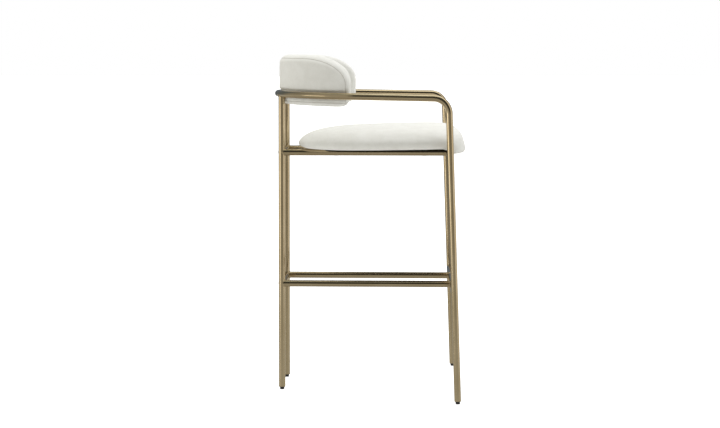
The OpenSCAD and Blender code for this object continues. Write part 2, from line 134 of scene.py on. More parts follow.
def subdivide(piece):
    modifier = piece.modifiers.new("subdivide", "SUBSURF")
    modifier.levels = 1
    modifier.render_levels = 1
    apply_modifier(piece, modifier)


def get_normals(mesh):
    normals = np.empty(len(mesh.vertices) * 3)
    mesh.vertices.foreach_get("normal", normals)
    return normals.reshape(-1, 3)


def even_out(mesh, values, times):
    """Averages a value at each point with those of the points next to it."""
    ends = np.empty(len(mesh.edges) * 2, dtype=np.int32)
    mesh.edges.foreach_get("vertices", ends)
    first, second = ends.reshape(-1, 2).T
    count = len(values)
    neighbours = np.bincount(ends, minlength=count)
    for _ in range(times):
        total = np.bincount(first, values[second], count) + np.bincount(second, values[first], count)
        values = 0.5 * values + 0.5 * total / neighbours
    return values


CLOTH_QUALITY = 4
SWELL_EVENING = 40


def inflate(piece, pressure, cap, frames=20):
    """Blows the closed cover up against its own cloth.

    Points only swell outwards, and no further than cap.
    """
    rest = get_points(piece.data)
    modifier = piece.modifiers.new("cloth", "CLOTH")
    settings = modifier.settings
    settings.use_pressure = True
    settings.uniform_pressure_force = pressure
    settings.effector_weights.gravity = 0
    settings.quality = CLOTH_QUALITY
    modifier.collision_settings.use_collision = False
    modifier.point_cache.frame_start = 1
    modifier.point_cache.frame_end = frames
    for frame_number in range(1, frames + 1):
        scene.frame_set(frame_number)
    graph = bpy.context.evaluated_depsgraph_get()
    moved = get_points(piece.evaluated_get(graph).data)
    piece.modifiers.remove(modifier)
    scene.frame_set(1)
    normals = get_normals(piece.data)
    swell = np.clip(np.sum((moved - rest) * normals, axis=1), 0, cap)
    swell = even_out(piece.data, swell, SWELL_EVENING)
    set_points(piece.data, rest + swell[:, None] * normals)


def stretch_to(values, low, high):
    """The same values, stretched evenly so that they run from low to high."""
    return low + (values - values.min()) * (high - low) / (values.max() - values.min())


def loft(rings, looped=False):
    """Quads between rings of the same number of points.

    The last ring meets the first one when looped. Both are closed with a face otherwise.
    """
    n = len(rings[0])
    verts = [point for ring in rings for point in ring]
    faces = []
    for k in range(len(rings) if looped else len(rings) - 1):
        here, ahead = k * n, (k + 1) % len(rings) * n
        for i in range(n):
            j = (i + 1) % n
            faces.append((here + i, here + j, ahead + j, ahead + i))
    if not looped:
        faces.append(tuple(reversed(range(n))))
        faces.append(tuple(range((len(rings) - 1) * n, len(rings) * n)))
    return verts, faces


def smoothstep(x, low, high):
    """0 up to low, 1 from high on, with a smooth change between."""
    t = np.clip((x - low) / (high - low), 0, 1)
    return t * t * (3 - 2 * t)


# ---------- Materials ----------

class Nodes:
    """A material's or world's node tree, with short ways to add maths and textures."""

    def __init__(self, owner):
        owner.use_nodes = True
        self.tree = owner.node_tree
        self.tree.nodes.clear()

    def put(self, socket, value):
        if isinstance(value, bpy.types.NodeSocket):
            self.tree.links.new(value, socket)
        else:
            socket.default_value = value

    def fill(self, node, **inputs):
        for key, value in inputs.items():
            self.put(node.inputs[key.replace("_", " ")], value)

    def add(self, kind, **inputs):
        node = self.tree.nodes.new(kind)
        self.fill(node, **inputs)
        return node

    def maths(self, operation, *values):
        node = self.tree.nodes.new("ShaderNodeMath")
        node.operation = operation
        for socket, value in zip(node.inputs, values):
            self.put(socket, value)
        return node.outputs[0]

    def times(self, first, second):
        return self.maths("MULTIPLY", first, second)

    def vary(self, value, amount, around):
        """A value that runs from 0 to 1, made to swing by an amount around another."""
        return self.maths("MULTIPLY_ADD", self.maths("SUBTRACT", value, 0.5), amount, around)

    def step(self, value, low, high, to_low=0.0, to_high=1.0):
        node = self.tree.nodes.new("ShaderNodeMapRange")
        node.interpolation_type = "SMOOTHSTEP"
        limits = {"From Min": low, "From Max": high, "To Min": to_low, "To Max": to_high}
        self.put(node.inputs["Value"], value)
        for key, limit in limits.items():
            self.put(node.inputs[key], limit)
        return node.outputs["Result"]

    def noise(self, vector, scale, detail=2.0, roughness=0.5):
        settings = {"Scale": scale, "Detail": detail, "Roughness": roughness}
        return self.add("ShaderNodeTexNoise", Vector=vector, **settings).outputs["Fac"]

    def stretched(self, vector, scale):
        node = self.tree.nodes.new("ShaderNodeVectorMath")
        node.operation = "MULTIPLY"
        self.put(node.inputs[0], vector)
        node.inputs[1].default_value = scale
        return node.outputs[0]

    def blend(self, factor, first, second):
        node = self.tree.nodes.new("ShaderNodeMix")
        node.data_type = "RGBA"
        self.put(node.inputs["Factor"], factor)
        self.put(node.inputs["A"], first)
        self.put(node.inputs["B"], second)
        return node.outputs["Result"]

    def bump(self, height, distance, strength=1.0, normal=None):
        node = self.add("ShaderNodeBump", Height=height, Distance=distance, Strength=strength)
        if normal is not None:
            self.put(node.inputs["Normal"], normal)
        return node.outputs["Normal"]

    def separate(self, vector):
        node = self.add("ShaderNodeSeparateXYZ", Vector=vector)
        return node.outputs["X"], node.outputs["Y"], node.outputs["Z"]

    def combine(self, x, y, z):
        return self.add("ShaderNodeCombineXYZ", X=x, Y=y, Z=z).outputs["Vector"]


def material(name):
    """A new material, its node tree, and the nodes that give the places and the surface."""
    made = bpy.data.materials.new(name)
    nodes = Nodes(made)
    place = nodes.add("ShaderNodeTexCoord")
    shader = nodes.add("ShaderNodeBsdfPrincipled")
    out = nodes.add("ShaderNodeOutputMaterial")
    nodes.put(out.inputs["Surface"], shader.outputs["BSDF"])
    return made, nodes, place, shader


BRASS_LIGHT = (0.59, 0.475, 0.305, 1)
BRASS_DARK = (0.53, 0.42, 0.26, 1)
# How often the brushed lines repeat in a metre, along a tube and across it
LINES_ALONG = 30
LINES_ACROSS = 2600


def satin_brass(name, lay):
    """Satin plated tube: fine lines run along the tube, with a faint cloudy tone.

    The lay is the direction of the tube: an axis, or "arc" for the back rail.
    """
    made, nodes, place, shader = material(name)
    spot = place.outputs["Object"]
    if lay == "arc":
        x, y, z = nodes.separate(spot)
        behind = nodes.maths("SUBTRACT", y, REAR_Y - BACK_R)
        along = nodes.times(nodes.maths("ARCTAN2", x, behind), BACK_R)
        square = nodes.maths("ADD", nodes.times(x, x), nodes.times(behind, behind))
        radius = nodes.maths("POWER", square, 0.5)
        spot_on_tube = nodes.combine(along, radius, z)
        scale = [LINES_ALONG, LINES_ACROSS, LINES_ACROSS]
    else:
        spot_on_tube = spot
        scale = [LINES_ACROSS] * 3
        scale["xyz".index(lay)] = LINES_ALONG
    lines = nodes.noise(nodes.stretched(spot_on_tube, scale), 1.0, detail=3)
    cloud = nodes.noise(spot, 9.0, detail=3)
    wipe = nodes.noise(spot, 60.0, detail=4, roughness=0.6)
    tone = nodes.vary(lines, 0.2, nodes.step(cloud, 0.3, 0.7))
    nodes.fill(
        shader,
        Base_Color=nodes.blend(tone, BRASS_DARK, BRASS_LIGHT),
        Metallic=1.0,
        Roughness=nodes.vary(lines, 0.02, nodes.vary(wipe, 0.06, 0.15)),
        Normal=nodes.bump(lines, 0.00001, 0.05),
    )
    return made


# How far the weave's threads wander from a straight line
THREAD_WANDER = 0.0011


def woven_cloth(name, light, shade, thread=0.0013):
    """A plain weave of slightly uneven threads, on whichever planes the surface faces."""
    made, nodes, place, shader = material(name)
    spot = place.outputs["Object"]
    wobble = nodes.add("ShaderNodeTexNoise", Vector=spot, Scale=140.0, Detail=2.0).outputs["Color"]
    shifted = nodes.tree.nodes.new("ShaderNodeVectorMath")
    shifted.operation = "MULTIPLY_ADD"
    nodes.put(shifted.inputs[0], wobble)
    nodes.put(shifted.inputs[1], (THREAD_WANDER,) * 3)
    nodes.put(shifted.inputs[2], spot)
    facing_x, facing_y, facing_z = nodes.separate(place.outputs["Normal"])
    wave = []
    for value in nodes.separate(shifted.outputs[0]):
        wave.append(nodes.maths("SINE", nodes.times(value, math.pi / thread)))
    height = 0.0
    for a, b, facing in ((0, 1, facing_z), (1, 2, facing_x), (0, 2, facing_y)):
        crossing = nodes.maths("ABSOLUTE", nodes.times(wave[a], wave[b]))
        height = nodes.maths("MULTIPLY_ADD", crossing, nodes.times(facing, facing), height)
    slub = nodes.noise(spot, 420.0, detail=4, roughness=0.7)
    patch = nodes.step(nodes.noise(spot, 34.0, detail=5, roughness=0.65), 0.2, 0.8, 0.1, 0.75)
    # The weave's height also sets the tone: raised thread crossings are lighter and the dips between
    # threads darker, which is painted shade.
    tone = nodes.vary(slub, 0.9, nodes.maths("MULTIPLY_ADD", height, 0.35, patch))
    soft = nodes.bump(nodes.noise(spot, 26.0, detail=3), 0.0008, 0.35)
    fuzz = nodes.bump(slub, 0.0003, 0.6, soft)
    nodes.fill(
        shader,
        Base_Color=nodes.blend(tone, shade, light),
        Roughness=nodes.maths("MULTIPLY_ADD", height, -0.08, 0.93),
        Normal=nodes.bump(height, 0.0003, 0.7, fuzz),
        Sheen_Weight=0.25,
        Sheen_Roughness=0.6,
        Specular_IOR_Level=0.2,
    )
    return made


def paler(colour, times, more=0.0):
    return tuple(min(1, part * times + more) for part in colour[:3]) + (1,)


def moulded(name, colour, rough):
    """Moulded plastic or rubber with a fine grain and a few paler scuffs."""
    made, nodes, place, shader = material(name)
    spot = place.outputs["Object"]
    pits = nodes.noise(spot, 900.0, detail=3)
    scuff = nodes.step(nodes.noise(spot, 130.0, detail=6, roughness=0.75), 0.62, 0.74)
    nodes.fill(
        shader,
        Base_Color=nodes.blend(nodes.times(scuff, 0.5), colour, paler(colour, 3, 0.02)),
        Roughness=nodes.maths("MULTIPLY_ADD", pits, 0.2, rough),
        Normal=nodes.bump(pits, 0.0001, 0.5),
    )
    return made


# The felt's bonded points lie a half turn of this wave apart
BOND_WAVE = 2600.0


def felted(name, colour):
    """Non-woven dust cloth: pressed fibres with a grid of bonded points."""
    made, nodes, place, shader = material(name)
    spot = place.outputs["Object"]
    fibres = nodes.noise(nodes.stretched(spot, (500, 2200, 500)), 1.0, detail=4, roughness=0.7)
    x, y, _ = nodes.separate(spot)
    waves = [nodes.maths("SINE", nodes.times(value, BOND_WAVE)) for value in (x, y)]
    height = nodes.maths("MULTIPLY_ADD", nodes.times(*waves), 0.4, fibres)
    nodes.fill(
        shader,
        Base_Color=nodes.blend(fibres, colour, paler(colour, 2.4)),
        Roughness=0.95,
        Normal=nodes.bump(height, 0.0002, 0.8),
    )
    return made


PLY_DARK = (0.42, 0.28, 0.15, 1)
PLY_LIGHT = (0.66, 0.50, 0.31, 1)


def plywood(name):
    """Plywood with its grain along Y."""
    made, nodes, place, shader = material(name)
    spot = place.outputs["Object"]
    grain = nodes.noise(nodes.stretched(spot, (220, 9, 220)), 1.0, detail=5, roughness=0.6)
    nodes.fill(
        shader,
        Base_Color=nodes.blend(grain, PLY_DARK, PLY_LIGHT),
        Roughness=nodes.maths("MULTIPLY_ADD", grain, 0.2, 0.5),
        Normal=nodes.bump(grain, 0.0002, 0.4),
    )
    return made


ZINC_DARK = (0.50, 0.51, 0.52, 1)
ZINC_LIGHT = (0.74, 0.74, 0.73, 1)


def zinc(name):
    """Zinc plated steel with a small crystal pattern."""
    made, nodes, place, shader = material(name)
    crystals = nodes.noise(place.outputs["Object"], 700.0, detail=3)
    nodes.fill(
        shader,
        Base_Color=nodes.blend(crystals, ZINC_DARK, ZINC_LIGHT),
        Metallic=1.0,
        Roughness=nodes.maths("MULTIPLY_ADD", crystals, 0.2, 0.3),
        Normal=nodes.bump(crystals, 0.00005, 0.4),
    )
    return made


CREAM_LIGHT = (0.84, 0.842, 0.81, 1)
CREAM_SHADE = (0.735, 0.732, 0.69, 1)
# The seam thread's colours are much darker than the cloth round it: painted shadow for the groove the
# seam lies in.
SEAM_SHADOW_LIGHT = (0.56, 0.54, 0.49, 1)
SEAM_SHADOW_DARK = (0.42, 0.40, 0.36, 1)
brass = {lay: satin_brass("satin_brass_" + lay, lay) for lay in ("x", "y", "z", "arc")}
cream = woven_cloth("cream_weave", CREAM_LIGHT, CREAM_SHADE)
seam_shadow_cloth = woven_cloth("seam_thread_painted_shadow", SEAM_SHADOW_LIGHT, SEAM_SHADOW_DARK, thread=0.0006)
black_plastic = moulded("black_plastic", (0.012, 0.012, 0.012, 1), 0.45)
black_rubber = moulded("black_rubber", (0.018, 0.017, 0.016, 1), 0.65)
black_felt = felted("black_felt", (0.012, 0.012, 0.013, 1))
ply = plywood("plywood")
zinc_plate = zinc("zinc_plate")

FINISH = {
    "back_rail": brass["arc"],
    "left_arm_and_leg": brass["z"], "right_arm_and_leg": brass["z"],
    "left_rear_leg": brass["z"], "right_rear_leg": brass["z"],
    "left_seat_rail": brass["y"], "right_seat_rail": brass["y"],
    "left_foot_rail": brass["y"], "right_foot_rail": brass["y"],
    "front_seat_rail": brass["x"], "rear_seat_rail": brass["x"],
    "front_foot_rail": brass["x"], "rear_foot_rail": brass["x"],
    "front_left_glide": black_plastic, "front_right_glide": black_plastic,
    "rear_left_glide": black_plastic, "rear_right_glide": black_plastic,
    "seat_board": ply, "back_board": ply,
    "seat_dust_cloth": black_felt,
    "front_saddle_pads": black_rubber, "rear_saddle_pads": black_rubber,
    "seat_screws": zinc_plate, "seat_tee_nuts": zinc_plate,
    "back_screws": zinc_plate, "back_tee_nuts": zinc_plate,
    "left_joint_plug": zinc_plate, "right_joint_plug": zinc_plate,
}
for node_name, finish in FINISH.items():
    for material_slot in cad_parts[node_name].material_slots:
        material_slot.material = finish


# ---------- Seat cushion ----------

SEAT_DEPTH = SEAT_HIGH.y - SEAT_LOW.y
SEAT_HALF = SEAT_HIGH.x
SEAT_RISE = 0.064
SEAT_VOXEL = 0.0048
SEAT_SWELL = 0.004
CLOTH_PRESSURE = 4

# The outline is two half ovals that meet at the widest place: a rounder one behind, a squarer in front
REAR_HALF = SEAT_DEPTH * 0.71
FRONT_HALF = SEAT_DEPTH - REAR_HALF
WIDEST_Y = SEAT_HIGH.y - REAR_HALF - PIVOT_Y
REAR_POWER, FRONT_POWER = 2.5, 3.6
SEAT_TAKE_IN = 0.001

# The front edge hangs down by LIP_DROP: in full up to LIP_FULL behind the edge, not at all past LIP_BACK
LIP_DROP = 0.016
LIP_BACK = 0.036
LIP_FULL = 0.018
BOTTOM_Z = 0.0012

# The cushion's cross-section: at each share of its height, the share of the outline it fills on that side
HEIGHTS = (0.02, 0.05, 0.10, 0.16, 0.25, 0.38, 0.50, 0.62, 0.72, 0.82, 0.90, 0.95, 0.985, 1.0)
REAR_SHARES = (0.94, 0.965, 0.985, 0.997, 1.0, 0.982, 0.952, 0.91, 0.862, 0.79, 0.70, 0.61, 0.46, 0.28)
FRONT_SHARES = (0.955, 0.98, 1.0, 0.995, 0.975, 0.95, 0.925, 0.88, 0.83, 0.745, 0.64, 0.545, 0.41, 0.25)
SIDE_SHARES = (0.935, 0.957, 0.975, 0.988, 0.998, 0.995, 0.972, 0.93, 0.87, 0.77, 0.645, 0.52, 0.35, 0.18)


def bowed(v, power):
    """A sine or cosine, changed so that a circle becomes an oval with fuller corners."""
    return math.copysign(abs(v) ** (2 / power), v)


def seat_outline(angle, size):
    """A point of the seat's outline in the seat's own plane, at a share of its full size."""
    c, s = math.cos(angle), math.sin(angle)
    if s > 0:
        depth, power = REAR_HALF, REAR_POWER
    else:
        depth, power = FRONT_HALF, FRONT_POWER
    x = size * (SEAT_HALF - SEAT_TAKE_IN) * bowed(c, power)
    y = WIDEST_Y + size * (depth - SEAT_TAKE_IN) * bowed(s, power)
    return x, y


def cushion_body():
    """The cushion before its cloth is blown up, in the seat's own plane."""
    steps = 120
    rings = []
    for height, rear, front, side in zip(HEIGHTS, REAR_SHARES, FRONT_SHARES, SIDE_SHARES):
        z = BOTTOM_Z + height * (SEAT_RISE - SEAT_TAKE_IN - BOTTOM_Z)
        ring = []
        for i in range(steps):
            angle = 2 * math.pi * i / steps
            share = front + (rear - front) * smoothstep(math.sin(angle), -0.5, 0.6)
            share += (side - share) * smoothstep(abs(math.cos(angle)), 0.1, 0.9)
            ring.append((*seat_outline(angle, share), z))
        rings.append(ring)
    return loft(rings)


def front_edge(x):
    """Y of the seat's front edge at each x, in the seat's own plane."""
    share = np.clip(np.abs(x) / SEAT_HALF, 0, 1)
    return WIDEST_Y - FRONT_HALF * (1 - share ** FRONT_POWER) ** (1 / FRONT_POWER)


def hang_lip(points):
    """Lets the front edge hang in front of the seat rail, fading out towards both sides."""
    behind = points[:, 1] - front_edge(points[:, 0])
    near = 1 - smoothstep(behind, LIP_FULL, LIP_BACK)
    across = 1 - smoothstep(np.abs(points[:, 0]) / SEAT_HALF, 0.80, 0.97)
    low = 1 - smoothstep(points[:, 2], 0.004, 0.034)
    points[:, 2] -= LIP_DROP * near * across * low
    return points


def rest_on_board(points):
    """Keeps the underside flat where it lies on the board."""
    half_depth = np.where(points[:, 1] > WIDEST_Y, REAR_HALF, FRONT_HALF)
    out = np.hypot(points[:, 0] / SEAT_HALF, (points[:, 1] - WIDEST_Y) / half_depth)
    on_board = (1 - smoothstep(out, 0.86, 0.95)) * (points[:, 2] < 0.02)
    on_board *= smoothstep(points[:, 1] - front_edge(points[:, 0]), LIP_BACK - 0.004, LIP_BACK + 0.006)
    points[:, 2] += (BOTTOM_Z - points[:, 2]) * on_board
    return points


seat = new_mesh("seat_cushion", *cushion_body())
remesh(seat, SEAT_VOXEL)
relax(seat, 2)
set_points(seat.data, hang_lip(get_points(seat.data)))
inflate(seat, CLOTH_PRESSURE, SEAT_SWELL)
relax(seat, 6)
points = get_points(seat.data)
points[:, 0] = stretch_to(points[:, 0], -SEAT_HALF, SEAT_HALF)
points[:, 1] = stretch_to(points[:, 1], SEAT_LOW.y - PIVOT_Y, SEAT_HIGH.y - PIVOT_Y)
# The crown rises to the frame's highest point, and the lip hangs down by its own drop
crown = points[:, 2] > SEAT_RISE / 2
room = (SEAT_HIGH.z - PIVOT_Z + points[crown, 1] * math.sin(SEAT_PITCH)) / math.cos(SEAT_PITCH)
lift = (room / points[crown, 2]).min()
hang = LIP_DROP / -points[:, 2].min()
points[:, 2] *= np.where(points[:, 2] > 0, lift, hang)
set_points(seat.data, rest_on_board(points))
subdivide(seat)
seat.data.transform(to_seat)
smooth_shading(seat)
seat.data.materials.append(cream)
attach(seat, "root")
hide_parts("seat_cover", "seat_foam")


# ---------- Back pad ----------

# The pad is bent round the back rail's centre: radii, then heights above the rail's centre line
PAD_OUT = 0.242
PAD_OUT_LOW = BACK_R - TUBE_R - 0.001
PAD_IN = 0.195
PAD_TOP = 0.111
PAD_BOTTOM = -0.030
PAD_REACH = 0.212
PAD_TAKE_IN = 0.001
PAD_VOXEL = 0.0042
PAD_SWELL = 0.003

# The large upper corner at each end is a quarter of an oval, and the lower one a quarter of a circle
CORNER_RUN = 0.135
CORNER_DROP = 0.070
CORNER_START = PAD_REACH - CORNER_RUN
LOW_CORNER = 0.027

# The roundings of the pad's outer and inner edges, and the smallest one
OUTER_EDGE = 0.026
INNER_EDGE = 0.015
LEAST_EDGE = 0.001

# The seam lies this far inside the pad's outline, and turns down the ends to this height
SEAM_IN = 0.0105
SEAM_LOW = 0.031
SEAM_RUN = CORNER_RUN - SEAM_IN
SEAM_DROP = PAD_TOP - SEAM_IN - SEAM_LOW
SEAM_TOP = PAD_TOP - SEAM_IN
SEAM_BOTTOM = PAD_BOTTOM + SEAM_IN
SEAM_DEPTH = 0.0012
SEAM_WIDTH = 0.0034
SEAM_CORD_R = 0.0007


def reach_at(angle):
    """The reach of the pad's outer face at an angle from the rear."""
    return BACK_R - PAD_OUT * math.cos(angle)


def angle_at(reach):
    return math.acos(max(min((BACK_R - reach) / PAD_OUT, 1), -1))


def pad_top(reach, shrink=0.0):
    into = np.clip((np.asarray(reach) - CORNER_START) / (CORNER_RUN - shrink), 0, 1)
    return PAD_TOP - shrink - (CORNER_DROP - shrink) * (1 - np.sqrt(1 - into ** 2))


def pad_bottom(reach, shrink=0.0):
    radius = LOW_CORNER - shrink * 0.3
    into = np.clip((np.asarray(reach) - (PAD_REACH - shrink - radius)) / radius, 0, 1)
    return PAD_BOTTOM + shrink + radius * (1 - np.sqrt(1 - into ** 2))


PAD_END = angle_at(PAD_REACH)


def quarter(centre, radius, start, steps=6):
    """Points on a quarter of a circle, anticlockwise from an angle."""
    points = []
    for i in range(steps + 1):
        a = start + math.pi / 2 * i / steps
        points.append((centre[0] + radius * math.cos(a), centre[1] + radius * math.sin(a)))
    return points


def pad_section(angle):
    """The pad's cross-section at an angle from the rear, as (radius, height) points."""
    reach = min(reach_at(abs(angle)), PAD_REACH - PAD_TAKE_IN - 1e-5)
    top = float(pad_top(reach, PAD_TAKE_IN))
    bottom = float(pad_bottom(reach, PAD_TAKE_IN))
    from_end = (PAD_END - abs(angle)) * PAD_OUT
    turn = max(INNER_EDGE - from_end, 0)
    inset = INNER_EDGE - math.sqrt(max(INNER_EDGE ** 2 - turn ** 2, 0)) + PAD_TAKE_IN
    outer, inner, low_outer = PAD_OUT - inset, PAD_IN + inset, PAD_OUT_LOW - inset
    tall = (top - bottom) / 2 - 0.001
    wide = (low_outer - inner) / 2 - 0.0005
    out_r = max(min(OUTER_EDGE, tall, outer - inner - INNER_EDGE), LEAST_EDGE)
    in_r = max(min(INNER_EDGE, tall, wide), LEAST_EDGE)
    over_rail = (low_outer, min(TUBE_R + 0.001, top - out_r - 0.002))
    full_width = (outer, min(TUBE_R + 0.007, top - out_r - 0.001))
    points = quarter((inner + in_r, bottom + in_r), in_r, math.pi)
    points += quarter((low_outer - in_r, bottom + in_r), in_r, 1.5 * math.pi)
    points += [over_rail, full_width]
    points += quarter((outer - out_r, top - out_r), out_r, 0)
    points += quarter((inner + in_r, top - in_r), in_r, 0.5 * math.pi)
    return points


def pad_stations():
    """The angles of the pad's cross-sections, closer together at both rounded ends."""
    rounding = INNER_EDGE * 1.2 / PAD_OUT
    ends = [PAD_END - rounding * (1 - math.cos(math.pi / 2 * i / 8)) for i in range(9)]
    between = np.linspace(-ends[-1], ends[-1], 61)[1:-1]
    return [-a for a in ends] + list(between) + list(reversed(ends))


def pad_body():
    rings = []
    for angle in pad_stations():
        rings.append([(r * math.sin(angle), r * math.cos(angle), z) for r, z in pad_section(angle)])
    return loft(rings)


pad = new_mesh("back_pad", *pad_body())
remesh(pad, PAD_VOXEL)
relax(pad, 2)
inflate(pad, CLOTH_PRESSURE, PAD_SWELL)
relax(pad, 3)
points = get_points(pad.data)
radius = np.hypot(points[:, 0], points[:, 1])
angle = stretch_to(np.arctan2(points[:, 0], points[:, 1]), -PAD_END, PAD_END)
points[:, 2] = stretch_to(points[:, 2], PAD_BOTTOM, PAD_TOP)
# Below the top of the rail the outer face stays clear of the tube
low_side = 1 - smoothstep(points[:, 2], TUBE_R, TUBE_R + 0.006)
radius = np.minimum(radius, PAD_OUT + (PAD_OUT_LOW + 0.0002 - PAD_OUT) * low_side)
points[:, 0] = radius * np.sin(angle)
points[:, 1] = radius * np.cos(angle)
set_points(pad.data, points)
subdivide(pad)


def seam_distance(points):
    """Distance inside (+) or outside (-) the seam's line, seen along the pad's outer face."""
    reach = BACK_R - PAD_OUT * points[:, 1] / np.hypot(points[:, 0], points[:, 1])
    z = points[:, 2]
    into = np.maximum(reach - CORNER_START, 0) / SEAM_RUN
    up = np.maximum(z - SEAM_LOW, 0) / SEAM_DROP
    scale = np.sqrt(into ** 2 / SEAM_RUN ** 2 + up ** 2 / SEAM_DROP ** 2)
    level = np.hypot(into, up)
    to_corner = (1 - level) * level / np.maximum(scale, 1e-9)
    to_end = CORNER_START + SEAM_RUN - reach
    past_start = np.where(z > SEAM_LOW, to_corner, to_end)
    gap = np.where(reach > CORNER_START, past_start, SEAM_TOP - z)
    return np.minimum(gap, z - SEAM_BOTTOM)


points = get_points(pad.data)
radius = np.hypot(points[:, 0], points[:, 1])
pad_middle = (PAD_OUT + PAD_IN) / 2
outer_side = smoothstep(radius, pad_middle + 0.004, pad_middle + 0.012)
groove = SEAM_DEPTH * outer_side * np.exp(-(seam_distance(points) / SEAM_WIDTH) ** 2)
points[:, :2] *= (1 - groove / radius)[:, None]
set_points(pad.data, points)


def seam_path():
    """Half of the seam, as (angle, height) points: along the top, down one end and back underneath."""
    half = [(a, SEAM_TOP) for a in np.linspace(0, angle_at(CORNER_START), 40, endpoint=False)]
    for i in range(31):
        t = math.pi / 2 * i / 30
        half.append((angle_at(CORNER_START + SEAM_RUN * math.sin(t)), SEAM_LOW + SEAM_DROP * math.cos(t)))
    end = angle_at(CORNER_START + SEAM_RUN)
    half += [(end, z) for z in np.linspace(SEAM_LOW, SEAM_BOTTOM, 14)[1:-1]]
    half += [(a, SEAM_BOTTOM) for a in np.linspace(end, 0, 60)]
    return half


def seam_line(body):
    """Points on the body's outer face along the whole seam."""
    verts = [tuple(v.co) for v in body.data.vertices]
    faces = [tuple(face.vertices) for face in body.data.polygons]
    tree = BVHTree.FromPolygons(verts, faces)
    half = seam_path()
    line = []
    for angle, z in half + [(-a, z) for a, z in reversed(half[1:-1])]:
        outward = Vector((math.sin(angle), math.cos(angle), 0))
        hit = tree.ray_cast(outward * (PAD_OUT + 0.03) + Vector((0, 0, z)), -outward)[0]
        if hit is not None:
            line.append(hit - outward * 0.0001)
    return line


def closed_cord(name, line, radius, sides=8):
    """A round cord along a line that runs back into its own start."""
    rings = []
    side = None
    for i, point in enumerate(line):
        along = (line[(i + 1) % len(line)] - line[i - 1]).normalized()
        if side is None:
            side = along.orthogonal().normalized()
        else:
            side = (side - along * side.dot(along)).normalized()
        other = along.cross(side)
        ring = []
        for k in range(sides):
            a = 2 * math.pi * k / sides
            ring.append(point + radius * (math.cos(a) * side + math.sin(a) * other))
        rings.append(ring)
    piece = new_mesh(name, *loft(rings, looped=True))
    smooth_shading(piece)
    return piece


# The seam cord is a real thread, coloured darker to paint the shadow in its groove.
thread = closed_cord("back_pad_seam_painted_shadow", seam_line(pad), SEAM_CORD_R)
smooth_shading(pad)
for piece, finish in ((pad, cream), (thread, seam_shadow_cloth)):
    piece.data.transform(to_rail)
    piece.data.materials.append(finish)
    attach(piece, "root")
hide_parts("back_front_cover", "back_rear_cover", "back_front_foam", "back_rear_foam")


# ---------- Weld beads ----------

BEAD_R = 0.0011
BEAD_LIFT = 0.0012
BEAD_POINTS = 48


def weld_bead(name, centre, branch, main):
    """A thin bead round the end of one tube where it meets another of the same size."""
    branch, main = branch.normalized(), main.normalized()
    across = branch.cross(main).normalized()
    line = []
    for i in range(BEAD_POINTS):
        a = 2 * math.pi * i / BEAD_POINTS
        away = math.sqrt((TUBE_R * math.cos(a)) ** 2 + BEAD_LIFT ** 2)
        line.append(centre + branch * away + TUBE_R * (math.cos(a) * main + math.sin(a) * across))
    piece = closed_cord(name, line, BEAD_R)
    piece.data.materials.append(brass["z"])
    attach(piece, "root")


def middle(node):
    low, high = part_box(node)
    return (low + high) / 2


UP, FORWARD, LEFT = Vector((0, 0, 1)), Vector((0, -1, 0)), Vector((1, 0, 0))
for level in ("seat", "foot"):
    front_bar, rear_bar = middle(f"front_{level}_rail"), middle(f"rear_{level}_rail")
    for side, name in ((1, "left"), (-1, "right")):
        rail_x = middle(f"{name}_{level}_rail").x
        front_end = Vector((rail_x, front_bar.y, front_bar.z))
        rear_end = Vector((rail_x, rear_bar.y, rear_bar.z))
        weld_bead(f"weld_{name}_{level}_rear", rear_end, FORWARD, UP)
        weld_bead(f"weld_{name}_{level}_front", front_end, -FORWARD, LEFT)
        weld_bead(f"weld_{name}_{level}_cross", rear_end, -side * LEFT, UP)
for side, name in ((1, "left"), (-1, "right")):
    leg_x = abs(middle(f"{name}_rear_leg").x)
    angle = math.asin(leg_x / BACK_R)
    top = to_rail @ Vector((side * leg_x, BACK_R * math.cos(angle), 0))
    tangent = Vector((math.cos(angle), -side * math.sin(angle), 0))
    weld_bead(f"weld_{name}_leg_top", top, -UP, tangent)


# ---------- Plugs in the seat screws' access holes ----------

PLUG_R = 0.0054
PLUG_THICK = 0.001
PLUG_PROUD = 0.0003
PLUG_EDGE = 0.0001
PLUG_POINTS = 32


def access_plug(name, rail, y):
    """A thin plug that closes a round hole in the underside of a rail, curved flush with the tube."""
    outer = []
    for share, proud in ((0.25, PLUG_PROUD), (0.6, PLUG_PROUD), (0.9, PLUG_PROUD), (1.0, PLUG_EDGE)):
        ring = []
        for i in range(PLUG_POINTS):
            a = 2 * math.pi * i / PLUG_POINTS
            across = PLUG_R * share * math.cos(a)
            along = PLUG_R * share * math.sin(a)
            drop = math.sqrt((TUBE_R + proud) ** 2 - across ** 2)
            ring.append(Vector((rail.x + across, y + along, rail.z - drop)))
        outer.append(ring)
    inner = [[point + Vector((0, 0, PLUG_THICK)) for point in ring] for ring in reversed(outer)]
    piece = new_mesh(name, *loft(outer + inner))
    smooth_shading(piece)
    piece.data.materials.append(brass["y"])
    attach(piece, "root")


# The holes are drilled square to the seat, so they come out a little in front of the saddles' middles
hole_shift = (PIVOT_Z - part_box("left_seat_rail")[0].z) * math.tan(SEAT_PITCH)
for side in ("left", "right"):
    for end, saddle in (("rear", REAR_SADDLE), ("front", FRONT_SADDLE)):
        hole_y = (saddle[0].y + saddle[1].y) / 2 - hole_shift
        access_plug(f"plug_{side}_{end}", middle(f"{side}_seat_rail"), hole_y)


# ---------- Floor, light and camera ----------

FLOOR_HALF = 60.0
FLOOR_DARK = (0.88, 0.88, 0.88, 1)
FLOOR_LIGHT = (0.91, 0.91, 0.91, 1)
FLOOR_GLOW = 0.62


